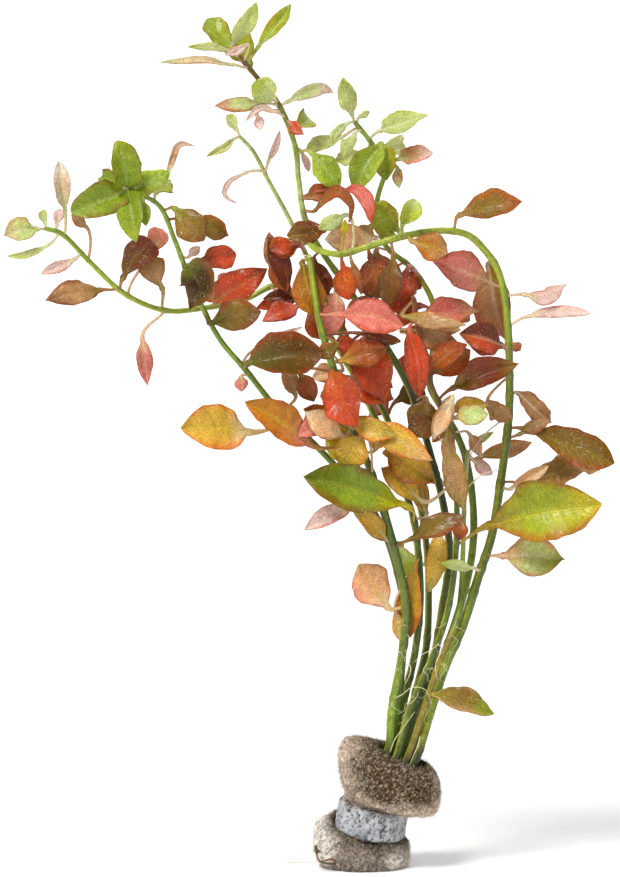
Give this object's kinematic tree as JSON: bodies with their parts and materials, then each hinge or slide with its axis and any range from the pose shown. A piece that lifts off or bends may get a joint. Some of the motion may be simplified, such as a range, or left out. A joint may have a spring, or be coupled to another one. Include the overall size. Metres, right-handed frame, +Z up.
{
  "type": "ludwigia ovalis",
  "caption": "Bunched red and green stem plant for an aquarium, rooted in a mineral wool plug that a clay ring weights.",
  "frame": {"origin": "on the flat foot of the plug, under its middle", "axes": "+Z up along the bunch, +X to the right of the front view, +Y into its depth"},
  "size_m": [0.1528, 0.0581, 0.2177],
  "materials": {
    "mineral_wool": "matt, fibrous and soiled",
    "fired_clay": "matt, pitted",
    "stem": "smooth fresh stem with small leaves",
    "leaf_green": "satin fresh leaf",
    "leaf_gold": "satin yellow leaf",
    "leaf_brown": "satin olive brown leaf",
    "leaf_red": "satin red leaf",
    "leaf_pink": "satin pink leaf"
  },
  "bodies": {
    "root": {"foam_plug": "mineral_wool", "weight_ring": "fired_clay", "stem_front_left": "stem", "stem_left_rosette": "stem", "stem_far_left": "stem", "stem_back": "stem", "stem_right_shoot": "stem", "stem_arching": "stem", "stem_pale": "stem", "stem_middle": "stem", "stem_upright": "stem", "leaf_large_gold": "leaf_gold", "leaf_green_front": "leaf_green", "leaf_olive_right": "leaf_brown", "leaf_olive_gold": "leaf_gold", "leaf_low_right": "leaf_green", "leaf_tan_right": "leaf_brown", "leaf_behind_arch": "leaf_pink", "leaf_orange_pink": "leaf_red", "leaf_copper_top": "leaf_red", "leaf_arch_brown": "leaf_brown", "leaf_spoon": "leaf_green", "leaf_red_right": "leaf_red", "leaf_maroon_right": "leaf_red", "leaf_pink_centre": "leaf_red", "leaf_brown_centre": "leaf_brown", "leaf_coral_front": "leaf_pink", "leaf_orange_front": "leaf_red", "leaf_red_orange_hanging": "leaf_red", "leaf_maroon_upper": "leaf_red", "leaf_brown_red_hanging": "leaf_red", "leaf_dark_hanging": "leaf_brown", "leaf_amber_hanging": "leaf_brown", "leaf_olive_left": "leaf_brown", "leaf_dark_olive": "leaf_brown", "leaf_orange_left": "leaf_red", "leaf_rosette_low": "leaf_brown", "leaf_rosette_right": "leaf_brown", "leaf_rosette_top": "leaf_green", "leaf_rosette_left": "leaf_green", "leaf_rosette_front": "leaf_green", "leaf_rosette_side": "leaf_green", "leaf_far_brown": "leaf_brown", "leaf_far_maroon": "leaf_red", "leaf_far_tip": "leaf_brown", "leaf_far_peach": "leaf_pink", "leaf_shoot_green": "leaf_green", "leaf_shoot_right": "leaf_green", "leaf_upper_green": "leaf_green", "leaf_top_brown": "leaf_brown", "leaf_golden_left": "leaf_gold", "leaf_amber_left": "leaf_brown", "leaf_lime_left": "leaf_green", "leaf_orange_brown": "leaf_brown", "leaf_red_low": "leaf_red", "leaf_red_strap": "leaf_red", "leaf_olive_centre": "leaf_brown", "leaf_golden_centre": "leaf_gold", "leaf_gold_centre": "leaf_brown", "leaf_pink_low": "leaf_pink"}
  },
  "joints": []
}
